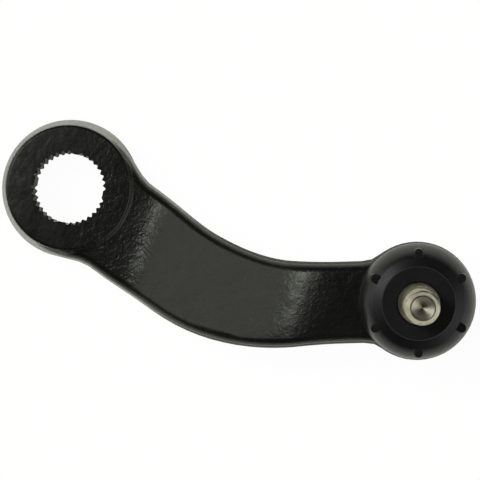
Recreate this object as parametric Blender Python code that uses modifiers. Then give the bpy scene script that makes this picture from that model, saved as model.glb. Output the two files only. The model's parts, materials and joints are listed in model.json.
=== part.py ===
"""Pitman arm of a truck's steering, with a splined eye and a built-in ball joint.

Units are metres and degrees. The origin is the centre of the splined bore on the face that the
steering gear sits against. +Z runs along the bore, +X points from the bore to the ball joint.
"""
import math

import bmesh
import bpy
from mathutils import Matrix, Vector

# Arm: plan
CENTRE_DISTANCE = 0.155          # bore axis to ball centre
NECK_ANGLE = -18.5               # direction in which the arm leaves the eye
TAIL_ANGLE = 19.6                # direction in which it runs into the socket
BOW_RADIUS = 0.082               # centreline radius between the two straights
NECK_HALF_WIDTH = 0.0221         # the arm narrows in two steps, to its waist and to its tail
WAIST_HALF_WIDTH = 0.0212
TAIL_HALF_WIDTH = 0.0173
WAIST_STARTS = 0.032             # along the centreline, from the bore axis
WAIST_ENDS = 0.058
NARROWING_STARTS = 0.066
NARROWING_ENDS = 0.032           # along the centreline, before the ball
EYE_SHOULDER = 0.027             # length over which the arm widens into the eye
SOCKET_SHOULDER = 0.021

# Arm: side
ARM_THICKNESS = 0.020
FACE_STEP = 0.0008               # the eye's top face stands this much above the arm
RISE = 0.025                     # the socket end lies this much higher than the eye end
LOWER_BEND = 0.0386              # bend's place on +X, from the bore axis
UPPER_BEND = 0.0478              # bend's place on +X, before the ball
INNER_BEND_LENGTH = 0.013        # length of a bend on its hollow side
OUTER_BEND_LENGTH = 0.0215       # and on its crowned side
EDGE_RADIUS = 0.0037
DRAFT = 7.0                      # forging draft, both ways from the middle of the section
STATION_STEP = 0.0044            # distance between two sections of the arm
BEND_STATION_STEP = 0.0030       # and near its two bends

# Eye
EYE_RADIUS = 0.0298              # at the parting line, where it is widest
EYE_HEIGHT = 0.030
EYE_PARTING = 0.009              # height of the parting line over the gear face
EYE_DRAFT = 7.5
EYE_EDGE = 0.0011
SPLINE_PITCHES = 36              # equal pitches round the bore
MASTER_EVERY = 9                 # one groove in nine is left out and makes a master tooth
SPLINE_TURN = 6.4                # direction of the first master tooth
SPLINE_TIP_RADIUS = 0.01475      # to the tips of the teeth, at the top face
SPLINE_DEPTH = 0.00102
SPLINE_LAND = 0.00045            # width of a tooth's tip and of a groove's floor
BORE_GROWTH = 0.0003             # the bore is this much larger in radius at the gear face
BORE_CHAMFER = 0.0011

# Socket housing
SOCKET_WALL = 0.00585            # outside the cover plate's pocket
SOCKET_WIDEST = 0.0050           # widest place, under the shoulder
SOCKET_DRAFT = 3.0
SOCKET_EDGE = 0.0012
SOCKET_SHOULDER_STEP = 0.0028    # the housing's shoulder above the arm's top
NECK_STEP = 0.0048               # the boot's collar is this much smaller in radius
NECK_HEIGHT = 0.0035
GROOVE_DEPTH = 0.0010
GROOVE_HEIGHT = 0.0019
SOCKET_DEPTH = 0.0410            # shoulder down to the rolled rim
THROAT_RADIUS = 0.0124
THROAT_FLARE = 0.0030            # added to the throat's radius at its mouth
CAVITY_ROOF = 0.0103             # above the ball's centre
RIM_THICKNESS = 0.0025
RIM_OVERLAP = 0.0020             # how far the rolled rim covers the plate

# Ball joint
BALL_RADIUS = 0.0140
BALL_FLAT = 0.36                 # radius of the ball's flat foot, as a share of the ball's
BALL_BELOW_SHOULDER = 0.0115     # ball's centre under the housing's shoulder
STUD_LEAN = 1.8                  # the stud is rocked this far about +X, as it was left
SEAT_WALL = 0.0030               # seat rings, outside the ball
UPPER_SEAT_START = 0.0015        # above the ball's centre
LOWER_SEAT_START = 0.0030        # below the ball's centre
LOWER_SEAT_FLOOR = 0.0032        # under the ball
LOWER_SEAT_CHAMFER = 0.0015
GREASE_HOLE_RADIUS = 0.0025
RUNNING_GAP = 0.0003
SIDE_PLAY = 0.0003               # of the lower seat in the cavity

# Stud, measured from the ball's centre along the stud
STUD_NECK_RADIUS = 0.0070
STUD_NECK_END = 0.0175
STUD_FLARE_END = 0.0220
TAPER_LARGE_RADIUS = 0.0088
TAPER_START = 0.0280
TAPER_LENGTH = 0.0170
TAPER_PER_LENGTH = 0.125         # loss of diameter for each unit of length
THREAD_RADIUS = 0.00715
THREAD_LENGTH = 0.0180
THREAD_RELIEF = 0.0015           # length of the groove under the thread
RELIEF_DEPTH = 0.0004
STUD_TIP_CHAMFER = 0.0018
CENTRE_HOLE_RADIUS = 0.0041
CENTRE_HOLE_DEPTH = 0.0034
COTTER_HOLE_RADIUS = 0.0016
COTTER_FROM_TIP = 0.0065

# Boot and its washer
BOOT_HEIGHT = 0.0137             # from the housing's shoulder to its flat top
BOOT_BULGE = 0.0042              # widest place, outside the collar that it grips
BOOT_FOOT_STEP = 0.0020          # outer foot, outside that collar
BOOT_WALL = 0.0022
BOOT_WIDEST = 0.0024             # height of the widest place above the shoulder
BOOT_BAND = 0.0038               # straight slope from the washer's rim out to the rounding
LUG_COUNT = 6
LUG_TURN = 48.0
LUG_WIDTH = 0.0040
LUG_INNER = 0.0186               # inner and outer end of a lug, from the boot's axis
LUG_REACH = 0.0227
LUG_DROP = 0.0010                # top of a lug under the boot's flat top
LUG_ROOT = 0.0010                # how deep a lug is set into the wall
STUD_HOLE_GAP = 0.0004
WASHER_RADIUS = 0.0154
WASHER_THICKNESS = 0.0018
WASHER_EDGE = 0.0002

# Cover plate and preload spring
PLATE_THICKNESS = 0.0030
PLATE_DISH = 0.0015
PLATE_DISH_RADIUS = 0.0080
PLATE_EDGE = 0.0005
SPRING_WIRE = 0.0012             # radius
SPRING_TURNS = 2.2
SPRING_TOP_RADIUS = 0.0062
SPRING_FOOT_RADIUS = 0.0118

# Grease fitting
FITTING_SHANK_RADIUS = 0.0029
FITTING_SHANK_LENGTH = 0.0039
FITTING_HEX = 0.0079             # across the flats
FITTING_HEX_HEIGHT = 0.0038
FITTING_NECK_RADIUS = 0.0023
FITTING_NECK_HEIGHT = 0.0022
FITTING_HEAD_RADIUS = 0.0032
FITTING_HEAD_HEIGHT = 0.0035
FITTING_TIP_RADIUS = 0.0019
FITTING_BORE = 0.0016
FITTING_MOUTH = 0.00085
FITTING_LIP = 0.0005
CHECK_BALL_RADIUS = 0.00125
CHECK_WIRE = 0.00018             # radius
CHECK_TURNS = 5
CHECK_GAP = 0.0001               # round the small ball and its spring

# Facets
EYE_SEGMENTS = 64
SOCKET_SEGMENTS = 56
STUD_SEGMENTS = 32
BOOT_SEGMENTS = 40
PLATE_SEGMENTS = 40
SMALL_SEGMENTS = 20
SPRING_STEPS = 20                # for each turn of the preload spring
CHECK_STEPS = 8                  # and of the small spring in the grease fitting

# Heights and radii that follow from the sizes above
ARM_TOP = EYE_HEIGHT - FACE_STEP
ARM_MIDDLE = ARM_TOP - ARM_THICKNESS / 2
SHOULDER_Z = ARM_TOP + RISE + SOCKET_SHOULDER_STEP
RIM_Z = SHOULDER_Z - SOCKET_DEPTH
BALL_Z = SHOULDER_Z - BALL_BELOW_SHOULDER
PLATE_Z = RIM_Z + RIM_THICKNESS + RUNNING_GAP
SEAT_RADIUS = BALL_RADIUS + SEAT_WALL
CAVITY_RADIUS = SEAT_RADIUS + RUNNING_GAP
PLATE_RADIUS = CAVITY_RADIUS + RIM_OVERLAP - 2 * RUNNING_GAP
LOWER_SEAT_FOOT = BALL_Z - BALL_RADIUS - RUNNING_GAP - LOWER_SEAT_FLOOR
BOOT_TOP_Z = SHOULDER_Z + BOOT_HEIGHT
SOCKET_RADIUS = PLATE_RADIUS + RUNNING_GAP + SOCKET_WALL
NECK_RADIUS = SOCKET_RADIUS - NECK_STEP
BOOT_RADIUS = NECK_RADIUS + BOOT_BULGE
BOOT_FOOT_RADIUS = NECK_RADIUS + BOOT_FOOT_STEP

BALL_CENTRE = Vector((CENTRE_DISTANCE, 0.0, BALL_Z))
SOCKET_AXIS = Vector((CENTRE_DISTANCE, 0.0, 0.0))


def clear_scene():
    for thing in list(bpy.data.objects):
        bpy.data.objects.remove(thing)
    for block in list(bpy.data.meshes):
        bpy.data.meshes.remove(block)


def make_collection(name):
    collection = bpy.data.collections.new(name)
    bpy.context.scene.collection.children.link(collection)
    return collection


def make_material(name, colour, roughness, metallic):
    material = bpy.data.materials.new(name)
    material.use_nodes = True
    shader = material.node_tree.nodes["Principled BSDF"]
    shader.inputs["Base Color"].default_value = (*colour, 1.0)
    shader.inputs["Roughness"].default_value = roughness
    shader.inputs["Metallic"].default_value = metallic
    return material


def add_object(name, mesh, collection, material=None):
    thing = bpy.data.objects.new(name, mesh)
    collection.objects.link(thing)
    if material is not None:
        mesh.materials.append(material)
    return thing


def make_cutter(thing):
    """Marks an object as a tool for a Boolean, which is not a piece of the model."""
    thing.hide_render = True
    thing.display_type = "WIRE"
    return thing


def add_weld(thing):
    """Joins the doubled points that a Boolean leaves where two outlines meet."""
    weld = thing.modifiers.new("weld", "WELD")
    weld.merge_threshold = 0.000001


def add_boolean(thing, tool, operation):
    modifier = thing.modifiers.new(tool.name, "BOOLEAN")
    modifier.operation = operation
    modifier.solver = "EXACT"
    modifier.object = tool
    return modifier


def arc(centre, radius, start, end, steps):
    """Points on a circle's arc in the (r, z) plane, angles in degrees from the r axis."""
    points = []
    for i in range(steps + 1):
        angle = math.radians(start + (end - start) * i / steps)
        points.append((centre[0] + radius * math.cos(angle), centre[1] + radius * math.sin(angle)))
    return points


def turn(name, profile, closed, segments, collection, material=None):
    """Turns a profile of (r, z) points about Z. It runs down its outer side, top to bottom."""
    mesh = bpy.data.meshes.new(name)
    last = len(profile) - 1
    edges = [(i, i + 1) for i in range(last)]
    if closed:
        edges.append((last, 0))
    mesh.from_pydata([(r, 0.0, z) for r, z in profile], edges, [])
    thing = add_object(name, mesh, collection, material)
    screw = thing.modifiers.new("turn", "SCREW")
    screw.axis = "Z"
    screw.steps = segments
    screw.render_steps = segments
    screw.use_merge_vertices = True
    screw.merge_threshold = 0.00001
    return thing


def to_mesh_object(thing, name, collection, material=None):
    """Replaces a modelled object by a plain mesh of its evaluated shape, welded."""
    graph = bpy.context.evaluated_depsgraph_get()
    mesh = bpy.data.meshes.new_from_object(thing.evaluated_get(graph))
    solid = bmesh.new()
    solid.from_mesh(mesh)
    bmesh.ops.remove_doubles(solid, verts=solid.verts, dist=0.000001)
    bmesh.ops.recalc_face_normals(solid, faces=solid.faces)
    solid.to_mesh(mesh)
    solid.free()
    place = thing.matrix_world.copy()
    bpy.data.objects.remove(thing)
    mesh.materials.clear()
    result = add_object(name, mesh, collection, material)
    result.matrix_world = place
    return result


def ease(t):
    """Smooth step from 0 to 1 with level ends."""
    t = min(max(t, 0.0), 1.0)
    return t * t * (3.0 - 2.0 * t)


class Centreline:
    """Plan of the arm: a straight out of the eye, an arc, and a straight into the socket."""

    def __init__(self):
        self.first = math.radians(NECK_ANGLE)
        self.last = math.radians(TAIL_ANGLE)
        turned = self.last - self.first
        corner = CENTRE_DISTANCE * math.sin(self.last) / math.sin(turned)
        corner_to_ball = CENTRE_DISTANCE * math.sin(-self.first) / math.sin(turned)
        radius = min(BOW_RADIUS, 0.95 * min(corner, corner_to_ball) / math.tan(turned / 2))
        cut = radius * math.tan(turned / 2)
        self.radius = radius
        self.straight = corner - cut
        self.bow = radius * turned
        self.length = self.straight + self.bow + corner_to_ball - cut

    def at(self, distance):
        """Point and direction angle at a distance from the bore axis."""
        heading = Vector((math.cos(self.first), math.sin(self.first)))
        if distance <= self.straight:
            return heading * distance, self.first
        side = Vector((-heading.y, heading.x))
        centre = heading * self.straight + side * self.radius
        angle = self.first + min(distance - self.straight, self.bow) / self.radius
        point = centre + self.radius * Vector((math.sin(angle), -math.cos(angle)))
        over = max(distance - self.straight - self.bow, 0.0)
        return point + over * Vector((math.cos(angle), math.sin(angle))), angle


def shoulder(distance, reach):
    """Falls from 1 at a boss's axis to 0 at its reach, full at first and then hollow."""
    t = min(max(distance / reach, 0.0), 1.0)
    return 0.5 + 0.5 * math.cos(math.pi * t ** 1.4)


def eye_wall(height):
    """Radius of the eye's drafted wall at a height over the gear face."""
    return EYE_RADIUS - abs(height - EYE_PARTING) * math.tan(math.radians(EYE_DRAFT))


def half_width(line, distance):
    to_waist = ease((distance - WAIST_STARTS) / (WAIST_ENDS - WAIST_STARTS))
    narrowing = line.length - NARROWING_ENDS - NARROWING_STARTS
    to_tail = ease((distance - NARROWING_STARTS) / narrowing)
    plain = NECK_HALF_WIDTH
    plain += (WAIST_HALF_WIDTH - NECK_HALF_WIDTH) * to_waist
    plain += (TAIL_HALF_WIDTH - WAIST_HALF_WIDTH) * to_tail
    at_eye = (eye_wall(ARM_MIDDLE) - NECK_HALF_WIDTH) * shoulder(distance, EYE_SHOULDER)
    at_socket = (SOCKET_RADIUS - TAIL_HALF_WIDTH) * shoulder(line.length - distance, SOCKET_SHOULDER)
    return plain + at_eye + at_socket


def rounded_ramp(t, low, high):
    """Clamps t to 0..1, with its two corners rounded over the lengths low and high."""
    if t < -low / 2:
        return 0.0
    if t < low / 2:
        return (t + low / 2) ** 2 / (2 * low)
    if t < 1 - high / 2:
        return t
    if t < 1 + high / 2:
        return 1 - (1 + high / 2 - t) ** 2 / (2 * high)
    return 1.0


def arm_heights(x):
    """Bottom and top of the arm at a place on +X. The hollow and crowned sides change over."""
    run = CENTRE_DISTANCE - UPPER_BEND - LOWER_BEND
    shift = ARM_THICKNESS * math.tan(math.atan(RISE / run) / 2)
    inner = INNER_BEND_LENGTH / run
    outer = OUTER_BEND_LENGTH / run
    past = x - LOWER_BEND
    top = ARM_TOP + RISE * rounded_ramp(past / run, inner, outer)
    bottom = ARM_TOP - ARM_THICKNESS + RISE * rounded_ramp((past - shift) / run, outer, inner)
    return bottom, top


def section_corner(steps):
    """One quarter of the section as (inset from the border, height over the middle)."""
    draft = math.radians(DRAFT)
    half = ARM_THICKNESS / 2
    wall = half - EDGE_RADIUS + EDGE_RADIUS * math.sin(draft)
    inset = wall * math.tan(draft) + EDGE_RADIUS * math.cos(draft)
    corner = [(0.0, 0.0)]
    for i in range(steps + 1):
        angle = draft + (math.pi / 2 - draft) * i / steps
        height = half - EDGE_RADIUS + EDGE_RADIUS * math.sin(angle)
        corner.append((inset - EDGE_RADIUS * math.cos(angle), height))
    return corner


def arm_section(line, distance, width, corner, across):
    """Ring of points round the arm at one distance, in the upright plane across its path."""
    centre, angle = line.at(distance)
    side = Vector((-math.sin(angle), math.cos(angle)))
    flat = width - corner[-1][0]
    ring = [(width - inset, height) for inset, height in corner]
    ring += [(flat - 2 * flat * i / across, corner[-1][1]) for i in range(1, across)]
    ring += [(inset - width, height) for inset, height in reversed(corner)]
    below = [(place, -height) for place, height in ring[1:-1]]
    points = []
    for place, height in ring + below[::-1]:
        plan = centre + side * place
        bottom, top = arm_heights(plan.x)
        level = 0.5 + height / ARM_THICKNESS
        points.append(Vector((plan.x, plan.y, bottom + (top - bottom) * level)))
    return points


def arm_stations(line):
    """Distances along the centreline, closer together where the arm bends."""
    stop = line.length - 0.5 * SOCKET_RADIUS
    bend_reach = 0.75 * OUTER_BEND_LENGTH
    distances = [STATION_STEP]
    while distances[-1] < stop - 1.5 * STATION_STEP:
        x = line.at(distances[-1])[0].x
        low_bend = abs(x - LOWER_BEND) < bend_reach
        high_bend = abs(x - CENTRE_DISTANCE + UPPER_BEND) < bend_reach
        step = BEND_STATION_STEP if low_bend or high_bend else STATION_STEP
        distances.append(distances[-1] + step)
    distances.append(stop)
    return distances


def make_arm_body(collection, material):
    """Loft of rounded, drafted sections along the centreline, closed at both ends."""
    line = Centreline()
    corner = section_corner(3)
    sections = [(0.0, 0.98 * eye_wall(ARM_MIDDLE))]
    sections += [(distance, half_width(line, distance)) for distance in arm_stations(line)]
    sections.append((line.length - 0.3 * SOCKET_RADIUS, 0.85 * SOCKET_RADIUS))
    solid = bmesh.new()
    rings = []
    for distance, width in sections:
        points = arm_section(line, distance, width, corner, 4)
        rings.append([solid.verts.new(point) for point in points])
    count = len(rings[0])
    for near, far in zip(rings, rings[1:]):
        for i in range(count):
            j = (i + 1) % count
            solid.faces.new((near[i], near[j], far[j], far[i]))
    solid.faces.new(rings[0])
    solid.faces.new(rings[-1])
    bmesh.ops.recalc_face_normals(solid, faces=solid.faces)
    mesh = bpy.data.meshes.new("arm_forging")
    solid.to_mesh(mesh)
    solid.free()
    return add_object("arm_forging", mesh, collection, material)


def eye_blank(tools):
    """Turned disc with draft both ways from the parting line and small rounded edges."""
    top = eye_wall(EYE_HEIGHT)
    foot = eye_wall(0.0)
    profile = [(0.0, EYE_HEIGHT)]
    profile += arc((top - EYE_EDGE, EYE_HEIGHT - EYE_EDGE), EYE_EDGE, 90, 0, 2)
    profile.append((EYE_RADIUS, EYE_PARTING))
    profile += arc((foot - EYE_EDGE, EYE_EDGE), EYE_EDGE, 0, -90, 2)
    profile.append((0.0, 0.0))
    return make_cutter(turn("eye_blank", profile, False, EYE_SEGMENTS, tools))


def housing_blank(tools):
    """Turned body of the socket, with the grooved collar that holds the boot."""
    lean = math.tan(math.radians(SOCKET_DRAFT))
    widest = SHOULDER_Z - SOCKET_WIDEST
    top = SOCKET_RADIUS - SOCKET_WIDEST * lean
    foot = SOCKET_RADIUS - (widest - RIM_Z) * lean
    neck_top = SHOULDER_Z + NECK_HEIGHT
    chamfer = 0.4 * (NECK_HEIGHT - GROOVE_HEIGHT)
    profile = [
        (0.0, neck_top),
        (NECK_RADIUS - chamfer, neck_top),
        (NECK_RADIUS, neck_top - chamfer),
        (NECK_RADIUS, SHOULDER_Z + GROOVE_HEIGHT),
        (NECK_RADIUS - GROOVE_DEPTH, SHOULDER_Z + GROOVE_HEIGHT),
        (NECK_RADIUS - GROOVE_DEPTH, SHOULDER_Z),
    ]
    profile += arc((top - SOCKET_EDGE, SHOULDER_Z - SOCKET_EDGE), SOCKET_EDGE, 90, 0, 2)
    profile.append((SOCKET_RADIUS, widest))
    profile += arc((foot - SOCKET_EDGE, RIM_Z + SOCKET_EDGE), SOCKET_EDGE, 0, -90, 2)
    profile.append((0.0, RIM_Z))
    blank = make_cutter(turn("housing_blank", profile, False, SOCKET_SEGMENTS, tools))
    blank.location = SOCKET_AXIS
    return blank


def spline_outline(growth):
    """Bore outline: pointed teeth at equal pitches, with a wide tooth at each missing groove."""
    tip = SPLINE_TIP_RADIUS + growth
    root = tip + SPLINE_DEPTH
    pitch = 2 * math.pi / SPLINE_PITCHES
    land = SPLINE_LAND / tip / 2
    turned = math.radians(SPLINE_TURN)
    points = []
    for i in range(SPLINE_PITCHES):
        middle = turned + i * pitch
        if i % MASTER_EVERY == 0:
            spots = [(middle, tip)]
        else:
            spots = [
                (middle - pitch / 2 + land, tip),
                (middle - land, root),
                (middle + land, root),
                (middle + pitch / 2 - land, tip),
            ]
        points += [(radius * math.cos(angle), radius * math.sin(angle)) for angle, radius in spots]
    return points


def spline_cutter(tools):
    """Tapered serrated bar, lofted between the outlines at the two ends."""
    over = 0.001
    slope = BORE_GROWTH / EYE_HEIGHT
    top = spline_outline(-over * slope)
    foot = spline_outline(BORE_GROWTH + over * slope)
    solid = bmesh.new()
    upper = [solid.verts.new((x, y, EYE_HEIGHT + over)) for x, y in top]
    lower = [solid.verts.new((x, y, -over)) for x, y in foot]
    count = len(upper)
    for i in range(count):
        j = (i + 1) % count
        solid.faces.new((upper[i], upper[j], lower[j], lower[i]))
    solid.faces.new(upper)
    solid.faces.new(lower)
    bmesh.ops.recalc_face_normals(solid, faces=solid.faces)
    mesh = bpy.data.meshes.new("spline_cutter")
    solid.to_mesh(mesh)
    solid.free()
    return make_cutter(add_object("spline_cutter", mesh, tools))


def chamfer_cutter(name, face_z, outward, radius, tools):
    """Cone that breaks the edge of the bore at one face."""
    over = 0.001
    inner = (radius - BORE_CHAMFER, face_z - outward * BORE_CHAMFER)
    outer = (radius + over, face_z + outward * over)
    rim = [outer, inner] if outward > 0 else [inner, outer]
    profile = [(0.0, rim[0][1]), *rim, (0.0, rim[1][1])]
    return make_cutter(turn(name, profile, False, EYE_SEGMENTS, tools))


def cavity_cutter(tools):
    """Throat, ball cavity, plate pocket and rolled rim of the socket, in one turned tool."""
    over = 0.002
    roof = BALL_Z + CAVITY_ROOF
    mouth = SHOULDER_Z + NECK_HEIGHT
    slope = THROAT_FLARE / (mouth - roof)
    ledge = PLATE_Z + PLATE_THICKNESS + RUNNING_GAP
    pocket = PLATE_RADIUS + RUNNING_GAP
    rim = PLATE_RADIUS - RIM_OVERLAP
    profile = [
        (0.0, mouth + over),
        (THROAT_RADIUS + THROAT_FLARE + over * slope, mouth + over),
        (THROAT_RADIUS, roof),
        (CAVITY_RADIUS, roof),
        (CAVITY_RADIUS, ledge),
        (pocket, ledge),
        (pocket, PLATE_Z - RUNNING_GAP),
        (rim, PLATE_Z - RUNNING_GAP),
        (rim, RIM_Z - over),
        (0.0, RIM_Z - over),
    ]
    cutter = make_cutter(turn("cavity_cutter", profile, False, SOCKET_SEGMENTS, tools))
    cutter.location = SOCKET_AXIS
    return cutter


def make_arm_forging(collection, tools, material):
    arm = make_arm_body(collection, material)
    add_boolean(arm, eye_blank(tools), "UNION")
    add_boolean(arm, housing_blank(tools), "UNION")
    add_boolean(arm, spline_cutter(tools), "DIFFERENCE")
    root = SPLINE_TIP_RADIUS + SPLINE_DEPTH
    add_boolean(arm, chamfer_cutter("top_chamfer", EYE_HEIGHT, 1, root, tools), "DIFFERENCE")
    foot = root + BORE_GROWTH
    add_boolean(arm, chamfer_cutter("gear_chamfer", 0.0, -1, foot, tools), "DIFFERENCE")
    add_boolean(arm, cavity_cutter(tools), "DIFFERENCE")
    add_weld(arm)
    return arm


def stud_profile():
    """Outer side of the stud and ball, from the centre hole down to the ball's flat foot."""
    taper_end = TAPER_START + TAPER_LENGTH
    small = TAPER_LARGE_RADIUS - TAPER_LENGTH * TAPER_PER_LENGTH / 2
    relief = THREAD_RADIUS - RELIEF_DEPTH
    thread_start = taper_end + THREAD_RELIEF
    tip = thread_start + THREAD_LENGTH
    meets_ball = math.degrees(math.acos(STUD_NECK_RADIUS / BALL_RADIUS))
    foot = math.degrees(math.acos(BALL_FLAT))
    profile = [
        (0.0, tip - CENTRE_HOLE_DEPTH),
        (CENTRE_HOLE_RADIUS, tip),
        (THREAD_RADIUS - STUD_TIP_CHAMFER, tip),
        (THREAD_RADIUS, tip - STUD_TIP_CHAMFER),
        (THREAD_RADIUS, thread_start),
        (relief, thread_start - RELIEF_DEPTH),
        (relief, taper_end),
        (small, taper_end),
        (TAPER_LARGE_RADIUS, TAPER_START),
        (TAPER_LARGE_RADIUS, STUD_FLARE_END),
        (STUD_NECK_RADIUS, STUD_NECK_END),
    ]
    profile += arc((0.0, 0.0), BALL_RADIUS, meets_ball, -foot, 12)
    profile.append((0.0, profile[-1][1]))
    return profile


def make_ball_stud(collection, tools, material, stud_axis):
    stud = turn("ball_stud", stud_profile(), False, STUD_SEGMENTS, collection, material)
    stud.parent = stud_axis
    tip = TAPER_START + TAPER_LENGTH + THREAD_RELIEF + THREAD_LENGTH
    mesh = bpy.data.meshes.new("cotter_drill")
    solid = bmesh.new()
    bmesh.ops.create_cone(
        solid,
        cap_ends=True,
        segments=16,
        radius1=COTTER_HOLE_RADIUS,
        radius2=COTTER_HOLE_RADIUS,
        depth=4 * THREAD_RADIUS,
    )
    solid.to_mesh(mesh)
    solid.free()
    drill = make_cutter(add_object("cotter_drill", mesh, tools))
    drill.parent = stud_axis
    drill.rotation_euler = (0.0, math.pi / 2, 0.0)
    drill.location = (0.0, 0.0, tip - COTTER_FROM_TIP)
    add_boolean(stud, drill, "DIFFERENCE")
    add_weld(stud)
    return stud


def make_upper_seat(collection, material):
    """Ring between the ball and the roof of the cavity, with a hollow that fits the ball."""
    hollow = BALL_RADIUS + RUNNING_GAP
    top = CAVITY_ROOF - RUNNING_GAP
    start = math.degrees(math.asin(UPPER_SEAT_START / hollow))
    end = math.degrees(math.acos(THROAT_RADIUS / hollow))
    profile = [(THROAT_RADIUS, top), (SEAT_RADIUS, top), (SEAT_RADIUS, UPPER_SEAT_START)]
    profile += arc((0.0, 0.0), hollow, start, end, 6)
    seat = turn("upper_seat", profile, True, STUD_SEGMENTS, collection, material)
    seat.location = BALL_CENTRE
    return seat


def make_lower_seat(collection, material):
    """Cup under the ball, with a grease hole through its floor."""
    hollow = BALL_RADIUS + RUNNING_GAP
    outer = SEAT_RADIUS - SIDE_PLAY
    foot = -(hollow + LOWER_SEAT_FLOOR)
    start = -math.degrees(math.acos(GREASE_HOLE_RADIUS / hollow))
    end = -math.degrees(math.asin(LOWER_SEAT_START / hollow))
    profile = [
        (outer, -LOWER_SEAT_START),
        (outer, foot + LOWER_SEAT_CHAMFER),
        (outer - LOWER_SEAT_CHAMFER, foot),
        (GREASE_HOLE_RADIUS, foot),
    ]
    profile += arc((0.0, 0.0), hollow, start, end, 7)
    seat = turn("lower_seat", profile, True, STUD_SEGMENTS, collection, material)
    seat.location = BALL_CENTRE
    return seat


def make_coil(name, radii, heights, turns, wire, per_turn, collection, material):
    """Coil spring as a tube along a conical helix whose first and last half turns lie flat."""
    count = int(turns * per_turn)
    curve = bpy.data.curves.new(name, "CURVE")
    curve.dimensions = "3D"
    curve.bevel_depth = wire
    curve.bevel_resolution = 2
    curve.use_fill_caps = True
    spline = curve.splines.new("POLY")
    spline.points.add(count)
    for i in range(count + 1):
        part = i / count
        angle = 2 * math.pi * turns * part
        rise = min(max((part * turns - 0.4) / (turns - 0.8), 0.0), 1.0)
        radius = radii[0] + (radii[1] - radii[0]) * part
        height = heights[0] + (heights[1] - heights[0]) * rise
        spline.points[i].co = (radius * math.cos(angle), radius * math.sin(angle), height, 1.0)
    coil = bpy.data.objects.new(name, curve)
    collection.objects.link(coil)
    coil.location = SOCKET_AXIS
    bpy.context.view_layer.update()
    return to_mesh_object(coil, name, collection, material)


def make_preload_spring(collection, material):
    foot = PLATE_Z + PLATE_THICKNESS + SPRING_WIRE + RUNNING_GAP
    top = LOWER_SEAT_FOOT - SPRING_WIRE - RUNNING_GAP
    radii = (SPRING_FOOT_RADIUS, SPRING_TOP_RADIUS)
    heights = (foot, top)
    return make_coil(
        "preload_spring", radii, heights, SPRING_TURNS, SPRING_WIRE, SPRING_STEPS, collection, material
    )


def make_cover_plate(collection, material):
    """Pressed plate with a shallow dish and a hole for the grease fitting."""
    hole = FITTING_SHANK_RADIUS + RUNNING_GAP
    slope_end = PLATE_DISH_RADIUS
    slope_start = PLATE_DISH_RADIUS + PLATE_DISH
    profile = [
        (hole, PLATE_THICKNESS - PLATE_DISH),
        (slope_end, PLATE_THICKNESS - PLATE_DISH),
        (slope_start, PLATE_THICKNESS),
        (PLATE_RADIUS - PLATE_EDGE, PLATE_THICKNESS),
        (PLATE_RADIUS, PLATE_THICKNESS - PLATE_EDGE),
        (PLATE_RADIUS, PLATE_EDGE),
        (PLATE_RADIUS - PLATE_EDGE, 0.0),
        (slope_start + PLATE_EDGE, 0.0),
        (slope_end + PLATE_EDGE, -PLATE_DISH),
        (hole, -PLATE_DISH),
    ]
    plate = turn("cover_plate", profile, True, PLATE_SEGMENTS, collection, material)
    plate.location = SOCKET_AXIS + Vector((0.0, 0.0, PLATE_Z))
    return plate


def fitting_levels():
    """Heights of the fitting's steps over its mouth."""
    head = FITTING_HEAD_HEIGHT
    neck = head + FITTING_NECK_HEIGHT
    collar = neck + FITTING_HEX_HEIGHT
    top = collar + FITTING_SHANK_LENGTH
    return head, neck, collar, top


def fitting_foot():
    """Height of the fitting's mouth: its hexagon seats under the plate's dish."""
    collar = fitting_levels()[2]
    return PLATE_Z - PLATE_DISH - RUNNING_GAP - collar


def fitting_seat_height():
    """Where the passage meets the cone that the check ball closes."""
    return FITTING_MOUTH + (FITTING_BORE - FITTING_MOUTH)


def make_grease_fitting(collection, tools, material):
    """Turned nipple with a hexagon, a check ball seat at its mouth and a lip at its top."""
    head, neck, collar, top = fitting_levels()
    seat = fitting_seat_height()
    corner = FITTING_HEX / math.sqrt(3.0)
    profile = [
        (FITTING_BORE - FITTING_LIP, top),
        (FITTING_SHANK_RADIUS, top),
        (FITTING_SHANK_RADIUS, collar),
        (corner, collar),
        (corner, neck),
        (FITTING_NECK_RADIUS, neck),
        (FITTING_NECK_RADIUS, head),
        (FITTING_HEAD_RADIUS, 0.72 * head),
        (FITTING_HEAD_RADIUS, 0.55 * head),
        (FITTING_TIP_RADIUS, 0.0),
        (FITTING_MOUTH, 0.0),
        (FITTING_MOUTH, 0.3 * seat),
        (FITTING_BORE, seat),
        (FITTING_BORE, top - FITTING_LIP),
        (FITTING_BORE - FITTING_LIP, top - FITTING_LIP),
    ]
    fitting = turn("grease_fitting", profile, True, SMALL_SEGMENTS, collection, material)
    place = SOCKET_AXIS + Vector((0.0, 0.0, fitting_foot()))
    fitting.location = place
    over = RUNNING_GAP
    wide = 2 * corner
    hexagon = [
        (0.0, top + over),
        (wide, top + over),
        (wide, collar + over),
        (corner, collar + over),
        (corner, neck - over),
        (wide, neck - over),
        (wide, -over),
        (0.0, -over),
    ]
    tool = make_cutter(turn("hexagon_tool", hexagon, False, 6, tools))
    tool.location = place
    add_boolean(fitting, tool, "INTERSECT")
    add_weld(fitting)
    return fitting


def make_check_ball(collection, material):
    mesh = bpy.data.meshes.new("grease_check_ball")
    solid = bmesh.new()
    bmesh.ops.create_uvsphere(solid, u_segments=16, v_segments=8, radius=CHECK_BALL_RADIUS)
    solid.to_mesh(mesh)
    solid.free()
    ball = add_object("grease_check_ball", mesh, collection, material)
    ball.location = SOCKET_AXIS + Vector((0.0, 0.0, check_ball_height()))
    return ball


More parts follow.
